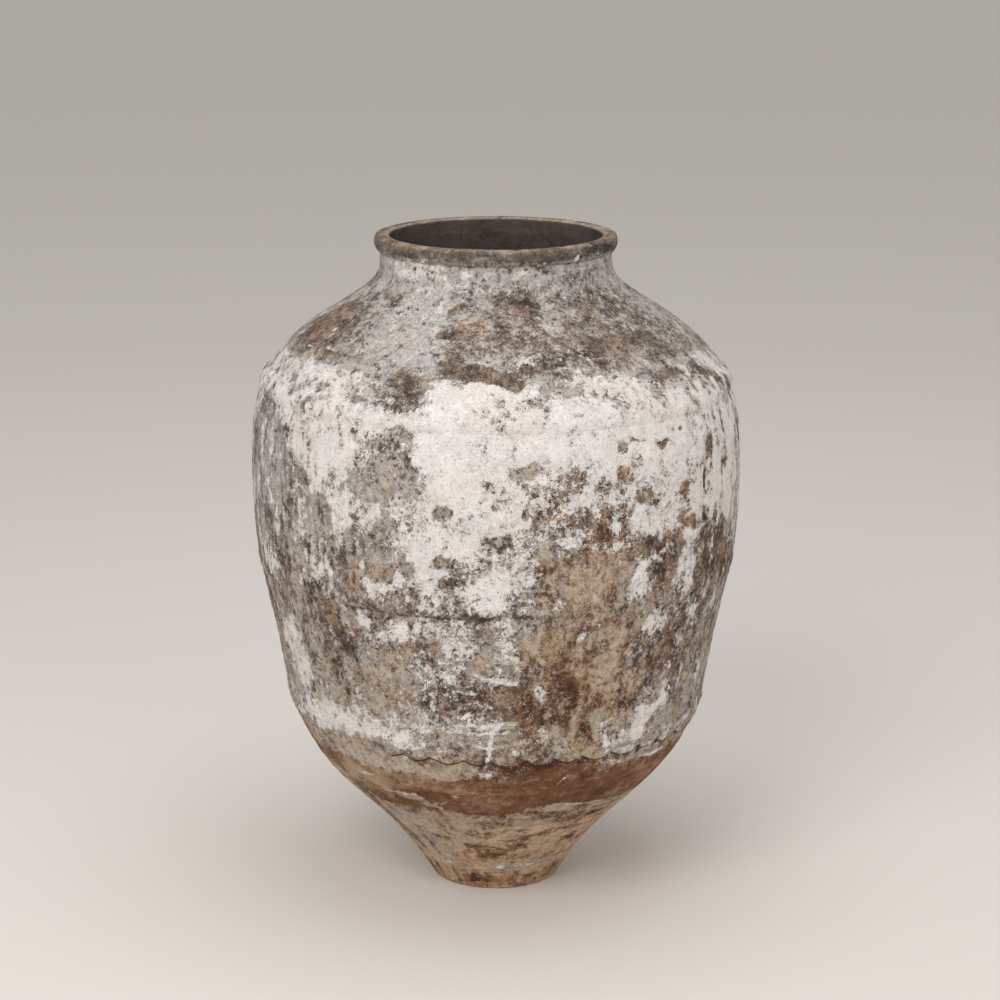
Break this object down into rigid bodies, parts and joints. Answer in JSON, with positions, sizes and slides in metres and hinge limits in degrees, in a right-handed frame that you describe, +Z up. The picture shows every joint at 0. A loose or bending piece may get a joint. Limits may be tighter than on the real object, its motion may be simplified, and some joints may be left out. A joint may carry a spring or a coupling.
{
  "type": "olive jar",
  "caption": "Tall earthenware storage jar with a narrow flat foot, wide belly, short neck and rolled rim, its wall joints covered by pressed clay bands, limewashed and weathered.",
  "frame": {"origin": "centre of the underside of the foot, on the ground", "axes": "+Z up along the jar's axis, out of the mouth; the jar is round, so +X and +Y are free, and the picture looks along +Y"},
  "size_m": [0.6108, 0.6107, 0.83],
  "materials": {
    "limed_wall": "fired clay under old, flaking limewash",
    "limed_band": "pressed clay under old, flaking limewash",
    "foot_clay": "bare fired clay with thin wiped limewash",
    "rim_clay": "dark, worn fired clay"
  },
  "bodies": {
    "root": {"base_disc": "foot_clay", "foot_cone": "foot_clay", "lower_wall": "limed_wall", "lower_belly": "limed_wall", "upper_belly": "limed_wall", "shoulder": "limed_wall", "neck_collar": "limed_wall", "rim_roll": "rim_clay", "lower_band": "limed_band", "middle_band": "limed_band", "shoulder_band": "limed_band"}
  },
  "joints": []
}
